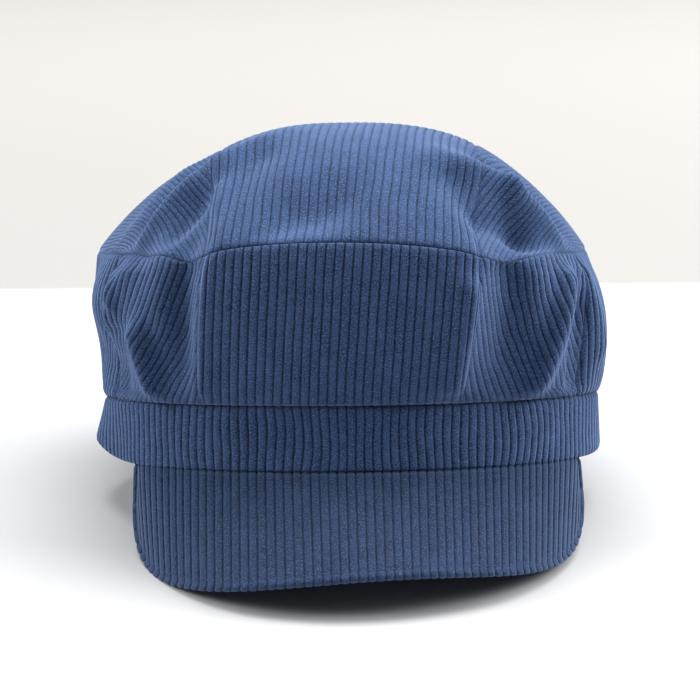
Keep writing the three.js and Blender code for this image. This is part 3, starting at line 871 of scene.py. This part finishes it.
def corduroy(name, painted_shade_share, seam_shade_width, groove_share):
    """Corduroy: pale wale backs, dark grooves, and pile that is brushed unevenly.

    The cloth of each group is darkened by its share of the colours: painted shade for the light that falls on
    that part and for the way its pile lies towards the light. Within the given width in mm of a piece's lower
    or front seam the cloth is painted darker, as shade in the seam. Pile that is pulled flat half hides its
    grooves, to the groove share of their darkness.
    """
    settings = bpy.context.scene.hat_cloth
    # Painted shade: the group's share darkens the whole cloth of this group, for the light that falls on it
    back_colour = [painted_shade_share * c for c in settings.wale_colour]
    groove_colour = tuple(painted_shade_share * c for c in settings.groove_colour) + (1.0,)
    material = bpy.data.materials.new(name)
    material.use_nodes = True
    tree = material.node_tree
    tree.nodes.clear()
    start = Wire(tree, None)
    uv = start.first("ShaderNodeUVMap", {"uv_map": "Cloth"})
    parts = start.node("ShaderNodeSeparateXYZ", Vector=uv)
    across = start.wire(parts.outputs[0])
    along = start.wire(parts.outputs[1])
    waver = start.noise(uv, 0.25, 1.0) - 0.5
    phase = start.math("FRACT", (across + waver * 0.35) / (settings.wale_pitch / MM))
    ridge = start.math("ABSOLUTE", phase - 0.5) * 2
    ragged = start.noise(uv, 1.8, 3.0, 0.7)
    groove = (ridge + (ragged - 0.5) * 0.45).smooth(0.62, 0.97)
    drawn = start.first("ShaderNodeCombineXYZ", X=across, Y=along * 0.7)
    pile = start.noise(drawn, 1.9, 3.0, 0.75)
    tuft = start.noise(drawn, 0.5, 2.0, 0.6)
    fleck = start.noise(uv, 1.55, 1.0, 0.5).smooth(0.57, 0.72)
    broken = start.noise(uv, 0.85, 2.0, 0.6).smooth(0.3, 0.6) * 0.45 + 0.55
    nap = start.noise(uv, 0.09, 2.0, 0.55)
    wear = start.wire(start.node("ShaderNodeAttribute", {"attribute_name": "wear"}).outputs["Fac"])
    dark = tuple(0.36 * c for c in back_colour) + (1.0,)
    light = tuple(min(1, 1.8 * c) for c in back_colour) + (1.0,)
    pale = tuple(min(1, 3.2 * c + 0.03) for c in back_colour) + (1.0,)
    shade = start.mix(pile.smooth(0.36, 0.64), dark, light)
    shade = start.mix(tuft.smooth(0.35, 0.7) * 0.35, shade, dark)
    shade = start.mix(nap.smooth(0.35, 0.7) * 0.3, shade, light)
    shade = start.mix(fleck * 0.6, shade, pale)
    shade = start.mix(wear * 0.35, shade, light)
    # Painted shade: the cloth near the piece's lower or front seam is darkened towards the groove colour, as
    # shade in the seam
    seam_shade = (along + (ragged - 0.5) * 1.6).smooth(seam_shade_width, 0.3 * seam_shade_width)
    shade = start.mix(seam_shade * 0.9, shade, groove_colour)
    colour = start.mix(groove * broken * groove_share, shade, groove_colour)
    relief = (1 - ridge ** 4) * 0.6 + pile * 0.5 + tuft * 0.12
    bump = start.first("ShaderNodeBump", Strength=0.6, Distance=0.5 * MM, Height=relief)
    tint = tuple(settings.sheen_colour) + (1.0,)
    sheen = {"Sheen_Weight": settings.sheen, "Sheen_Roughness": 0.45, "Sheen_Tint": tint}
    body = {"Base_Color": colour, "Roughness": 0.92, "Specular_IOR_Level": 0.15, "Normal": bump}
    start.node("ShaderNodeOutputMaterial", Surface=start.first("ShaderNodeBsdfPrincipled", **body, **sheen))
    return material


def plain_material(name, colour, roughness):
    material = bpy.data.materials.new(name)
    material.use_nodes = True
    shader = material.node_tree.nodes["Principled BSDF"]
    shader.inputs["Base Color"].default_value = tuple(colour) + (1.0,)
    shader.inputs["Roughness"].default_value = roughness
    return material


def place_object(name, data):
    made = bpy.data.objects.new(name, data)
    bpy.context.scene.collection.objects.link(made)
    return made


def dress(piece, node, material):
    piece.data.materials.append(material)
    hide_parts(node)
    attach(piece, "root")


def stitch_tree(material):
    """Geometry nodes that lay a thread's stitches along an edge."""
    tree = bpy.data.node_groups.new("Stitches", "GeometryNodeTree")
    face = tree.interface
    face.new_socket("Geometry", in_out="INPUT", socket_type="NodeSocketGeometry")
    for label, value in (("Stitch Pitch", 0.003), ("Stitch Length", 0.0022), ("Thread Radius", 0.0002)):
        socket = face.new_socket(label, in_out="INPUT", socket_type="NodeSocketFloat")
        socket.default_value = value
        socket.subtype = "DISTANCE"
    seed = face.new_socket("Seed", in_out="INPUT", socket_type="NodeSocketInt")
    seed.default_value = 4
    face.new_socket("Geometry", in_out="OUTPUT", socket_type="NodeSocketGeometry")
    start = Wire(tree, None)
    given = {socket.name: start.wire(socket) for socket in start.node("NodeGroupInput").outputs}
    edge = start.first("GeometryNodeMeshToCurve", i0=given["Geometry"])
    length = {"mode": "LENGTH"}
    spaced = start.first("GeometryNodeResampleCurve", length, Curve=edge, Length=given["Stitch Pitch"])
    tangent = start.first("GeometryNodeInputTangent")
    turned = start.first("FunctionNodeAlignRotationToVector", {"axis": "Z"}, Vector=tangent)
    kind = {"data_type": "FLOAT"}
    uneven = start.node("FunctionNodeRandomValue", kind, i2=0.88, i3=1.08, Seed=given["Seed"])
    ball = start.first("GeometryNodeMeshUVSphere", Segments=8, Rings=6, Radius=1.0)
    radius = given["Thread Radius"]
    size = start.first("ShaderNodeCombineXYZ", X=radius, Y=radius, Z=given["Stitch Length"] * 0.5)
    thread = start.first("GeometryNodeTransform", Geometry=ball, Scale=size)
    laid = {"Instance": thread, "Rotation": turned, "Scale": start.wire(uneven.outputs[1])}
    row = start.first("GeometryNodeInstanceOnPoints", Points=spaced, **laid)
    real = start.first("GeometryNodeRealizeInstances", i0=row)
    painted = start.first("GeometryNodeSetMaterial", Geometry=real, Material=material)
    start.node("NodeGroupOutput", i0=painted)
    return tree


def stitched(name, path, settings, material):
    """A row of stitches along a path of points, as a plain mesh."""
    mesh = bpy.data.meshes.new(name)
    mesh.from_pydata([tuple(p) for p in path], [(k, k + 1) for k in range(len(path) - 1)], [])
    holder = place_object(name + "_path", mesh)
    tree = stitch_tree(material)
    modifier = holder.modifiers.new("Stitches", "NODES")
    modifier.node_group = tree
    values = {
        "Stitch Pitch": settings.pitch,
        "Stitch Length": settings.length,
        "Thread Radius": settings.radius,
        "Seed": settings.seed,
    }
    for socket in tree.interface.items_tree:
        if socket.item_type == "SOCKET" and socket.in_out == "INPUT" and socket.name in values:
            modifier[socket.identifier] = values[socket.name]
    graph = bpy.context.evaluated_depsgraph_get()
    made = bpy.data.meshes.new_from_object(holder.evaluated_get(graph), depsgraph=graph)
    bpy.data.objects.remove(holder)
    made.name = name
    return place_object(name, made)


class HatClothSettings(bpy.types.PropertyGroup):
    wale_pitch: bpy.props.FloatProperty(
        name="Wale Pitch", description="Distance between two wales", default=0.0036, subtype="DISTANCE",
    )
    wale_height: bpy.props.FloatProperty(
        name="Wale Height", description="Height of a wale's back", default=0.0007, subtype="DISTANCE",
    )
    wale_colour: bpy.props.FloatVectorProperty(
        name="Wale Colour", description="Colour of the pile on the wales", default=(0.037, 0.07, 0.16),
        subtype="COLOR", min=0, max=1,
    )
    groove_colour: bpy.props.FloatVectorProperty(
        name="Groove Colour", description="Colour of the cloth in the grooves", default=(0.008, 0.014, 0.045),
        subtype="COLOR", min=0, max=1,
    )
    # Painted shade: these shares darken the tip, the headband and the peak, for the light on each and the way
    # its pile lies towards it
    tip_painted_shade: bpy.props.FloatProperty(
        name="Tip Shade", description="Brightness of the tip's pile", default=0.94, min=0,
    )
    band_painted_shade: bpy.props.FloatProperty(
        name="Band Shade", description="Brightness of the headband's pile", default=0.88, min=0,
    )
    peak_painted_shade: bpy.props.FloatProperty(
        name="Peak Shade", description="Brightness of the peak's pile", default=0.53, min=0,
    )
    sheen: bpy.props.FloatProperty(
        name="Sheen", description="Strength of the sheen", default=0.55, min=0, max=1, subtype="FACTOR",
    )
    sheen_colour: bpy.props.FloatVectorProperty(
        name="Sheen Colour", description="Colour of the pile's sheen", default=(0.45, 0.62, 1.0),
        subtype="COLOR", min=0, max=1,
    )


class HatStitchSettings(bpy.types.PropertyGroup):
    pitch: bpy.props.FloatProperty(
        name="Stitch Pitch", description="Distance between two stitches", default=0.003, subtype="DISTANCE",
    )
    length: bpy.props.FloatProperty(
        name="Stitch Length", description="Length of one stitch", default=0.0022, subtype="DISTANCE",
    )
    radius: bpy.props.FloatProperty(
        name="Thread Radius", description="Radius of the sewing thread", default=0.0002, subtype="DISTANCE",
    )
    inset: bpy.props.FloatProperty(
        name="Stitch Inset", description="Distance of the row from the peak's edge", default=0.0025,
        subtype="DISTANCE",
    )
    colour: bpy.props.FloatVectorProperty(
        name="Thread Colour", description="Colour of the sewing thread", default=(0.03, 0.06, 0.16),
        subtype="COLOR", min=0, max=1,
    )
    seed: bpy.props.IntProperty(name="Seed", description="Seed of the stitches' unevenness", default=4)


class HatStageSettings(bpy.types.PropertyGroup):
    floor_colour: bpy.props.FloatVectorProperty(
        name="Floor Colour", description="Colour of the floor", default=(0.57, 0.572, 0.58), subtype="COLOR",
        min=0, max=1,
    )
    sky_strength: bpy.props.FloatProperty(
        name="Sky Strength", description="Strength of the even light all round", default=0.12, min=0,
    )
    lamp_power: bpy.props.FloatProperty(
        name="Lamp Power", description="Power of the soft light overhead", default=86, min=0, unit="POWER",
    )
    lamp_width: bpy.props.FloatProperty(
        name="Lamp Width", description="Width of the soft light overhead", default=2.4, subtype="DISTANCE",
    )
    lamp_depth: bpy.props.FloatProperty(
        name="Lamp Depth", description="Size of the soft light from front to back", default=1.1,
        subtype="DISTANCE",
    )
    side_power: bpy.props.FloatProperty(
        name="Side Power", description="Power of the light on the right", default=46, min=0, unit="POWER",
    )
    camera_distance: bpy.props.FloatProperty(
        name="Camera Distance", description="Distance of the camera from the hat", default=0.85,
        subtype="DISTANCE",
    )
    camera_azimuth: bpy.props.FloatProperty(
        name="Camera Azimuth", description="Turn of the camera round the hat", default=math.radians(-4),
        subtype="ANGLE",
    )
    camera_elevation: bpy.props.FloatProperty(
        name="Camera Elevation", description="Angle of the camera above the floor", default=math.radians(20),
        subtype="ANGLE",
    )
    camera_roll: bpy.props.FloatProperty(
        name="Camera Roll", description="Turn of the camera about its own view", default=math.radians(0.7),
        subtype="ANGLE",
    )
    focal_length: bpy.props.FloatProperty(
        name="Focal Length", description="Focal length in millimetres", default=102.3,
    )


class HAT_OT_walls(bpy.types.Operator):
    """Make the eight walls of the crown"""

    bl_idname = "hat.walls"
    bl_label = "Crown Walls"

    def execute(self, context):
        material = corduroy("wall_corduroy", WALL_PAINTED_SHADE, *WALL_SEAM_SHADE_AND_GROOVES)
        for index, row in enumerate(WALLS):
            dress(wall_piece(index), row[0], material)
        return {"FINISHED"}


class HAT_OT_tip(bpy.types.Operator):
    """Make the three pieces of the crown's tip"""

    bl_idname = "hat.tip"
    bl_label = "Crown Tip"

    def execute(self, context):
        material = corduroy("tip_corduroy", context.scene.hat_cloth.tip_painted_shade, *TIP_SEAM_SHADE_AND_GROOVES)
        for row in TIP_PIECES:
            dress(tip_piece(*row), row[0], material)
        return {"FINISHED"}


class HAT_OT_headband(bpy.types.Operator):
    """Make the headband"""

    bl_idname = "hat.headband"
    bl_label = "Headband"

    def execute(self, context):
        material = corduroy("band_corduroy", context.scene.hat_cloth.band_painted_shade, *BAND_SEAM_SHADE_AND_GROOVES)
        dress(headband_piece(), "headband", material)
        return {"FINISHED"}


class HAT_OT_peak(bpy.types.Operator):
    """Make the peak and its row of stitches"""

    bl_idname = "hat.peak"
    bl_label = "Peak"

    def execute(self, context):
        stitch = context.scene.hat_stitch
        material = corduroy("peak_corduroy", context.scene.hat_cloth.peak_painted_shade, *PEAK_SEAM_SHADE_AND_GROOVES)
        dress(peak_piece(), "peak", material)
        across = np.linspace(-STITCHED_SHARE, STITCHED_SHARE, 240)
        reach = peak_outline(across) - stitch.inset / MM
        point = peak_rows(across, reach)[0] + peak_through(across) * STITCH_SINK
        thread = plain_material("peak_thread", stitch.colour, 0.7)
        row = stitched("peak_stitches", to_scene(point), stitch, thread)
        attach(row, "root")
        return {"FINISHED"}


def floor_material(colour):
    """Pale floor, a little warmer and darker far behind the hat."""
    material = bpy.data.materials.new("studio_floor")
    material.use_nodes = True
    tree = material.node_tree
    shader = tree.nodes["Principled BSDF"]
    start = Wire(tree, None)
    place = start.wire(start.node("ShaderNodeTexCoord").outputs["Object"])
    depth = start.wire(start.node("ShaderNodeSeparateXYZ", Vector=place).outputs[1])
    beyond = depth.smooth(*BACKDROP_EDGE)
    near = tuple(colour) + (1.0,)
    low = tuple(share * c for share, c in zip(BACKDROP_LOW, colour)) + (1.0,)
    high = tuple(share * c for share, c in zip(BACKDROP_HIGH, colour)) + (1.0,)
    backdrop = start.mix(depth.smooth(*BACKDROP_RISE), low, high)
    start.feed(shader.inputs["Base Color"], start.mix(beyond, near, backdrop))
    shader.inputs["Roughness"].default_value = 0.75
    shader.inputs["Specular IOR Level"].default_value = 0.2
    return material


def add_camera(settings):
    azimuth, elevation = settings.camera_azimuth, settings.camera_elevation
    flat = math.cos(elevation)
    forward = Vector((-math.sin(azimuth) * flat, math.cos(azimuth) * flat, -math.sin(elevation)))
    right = Vector((math.cos(azimuth), math.sin(azimuth), 0))
    up = right.cross(forward)
    camera = bpy.data.cameras.new("Camera")
    camera.lens = settings.focal_length
    camera.sensor_width = 36
    camera.clip_start = 0.01
    camera.clip_end = 50
    holder = place_object("Camera", camera)
    turn = Matrix((right, up, -forward)).transposed() @ Matrix.Rotation(settings.camera_roll, 3, "Z")
    place = Vector(CAMERA_TARGET) - forward * settings.camera_distance
    holder.matrix_world = Matrix.Translation(place) @ turn.to_4x4()
    bpy.context.scene.camera = holder


def add_lamp(name, place, target, width, depth, power):
    light = bpy.data.lights.new(name, "AREA")
    light.shape = "RECTANGLE"
    light.size = width
    light.size_y = depth
    light.energy = power
    lamp = place_object(name, light)
    lamp.location = place
    lamp.rotation_euler = (Vector(target) - Vector(place)).to_track_quat("-Z", "Y").to_euler()


class HAT_OT_stage(bpy.types.Operator):
    """Make the floor, the lights and the camera"""

    bl_idname = "hat.stage"
    bl_label = "Stage"

    def execute(self, context):
        settings = context.scene.hat_stage
        corners = ((-1, -1), (1, -1), (1, 1), (-1, 1))
        mesh = bpy.data.meshes.new("floor")
        mesh.from_pydata([(x * FLOOR_REACH, y * FLOOR_REACH, 0) for x, y in corners], [], [(0, 1, 2, 3)])
        mesh.materials.append(floor_material(settings.floor_colour))
        place_object("floor", mesh)
        world = bpy.data.worlds.new("studio")
        world.use_nodes = True
        sky = world.node_tree.nodes["Background"]
        sky.inputs["Color"].default_value = (1.0, 0.995, 0.985, 1.0)
        sky.inputs["Strength"].default_value = settings.sky_strength
        context.scene.world = world
        width, depth = settings.lamp_width, settings.lamp_depth
        add_lamp("overhead", OVERHEAD_PLACE, OVERHEAD_TARGET, width, depth, settings.lamp_power)
        for name, way, share in (("right", 1, 1), ("left", -1, LEFT_POWER)):
            place = (way * SIDE_REACH, SIDE_DEPTH, SIDE_HEIGHT)
            add_lamp(name, place, SIDE_TARGET, SIDE_SIZE, SIDE_SIZE, share * settings.side_power)
        add_camera(settings)
        context.scene.view_settings.view_transform = "Standard"
        return {"FINISHED"}


class HAT_PT_panel(bpy.types.Panel):
    """Sizes, colours and steps of the hat"""

    bl_label = "Baker Boy Hat"
    bl_idname = "HAT_PT_panel"
    bl_space_type = "VIEW_3D"
    bl_region_type = "UI"
    bl_category = "Hat"

    def draw(self, context):
        for group in (context.scene.hat_cloth, context.scene.hat_stitch, context.scene.hat_stage):
            box = self.layout.box()
            for name in group.__annotations__:
                box.prop(group, name)
        for operator in OPERATORS:
            self.layout.operator(operator.bl_idname)


OPERATORS = (HAT_OT_walls, HAT_OT_tip, HAT_OT_headband, HAT_OT_peak, HAT_OT_stage)
SETTINGS = (HatClothSettings, HatStitchSettings, HatStageSettings)
CLASSES = SETTINGS + OPERATORS + (HAT_PT_panel,)


def register():
    for item in CLASSES:
        bpy.utils.register_class(item)
    bpy.types.Scene.hat_cloth = bpy.props.PointerProperty(type=HatClothSettings)
    bpy.types.Scene.hat_stitch = bpy.props.PointerProperty(type=HatStitchSettings)
    bpy.types.Scene.hat_stage = bpy.props.PointerProperty(type=HatStageSettings)


def unregister():
    del bpy.types.Scene.hat_stage
    del bpy.types.Scene.hat_stitch
    del bpy.types.Scene.hat_cloth
    for item in reversed(CLASSES):
        bpy.utils.unregister_class(item)


def main():
    register()
    bpy.ops.hat.walls()
    bpy.ops.hat.tip()
    bpy.ops.hat.headband()
    bpy.ops.hat.peak()
    bpy.ops.hat.stage()


if __name__ == "__main__":
    main()
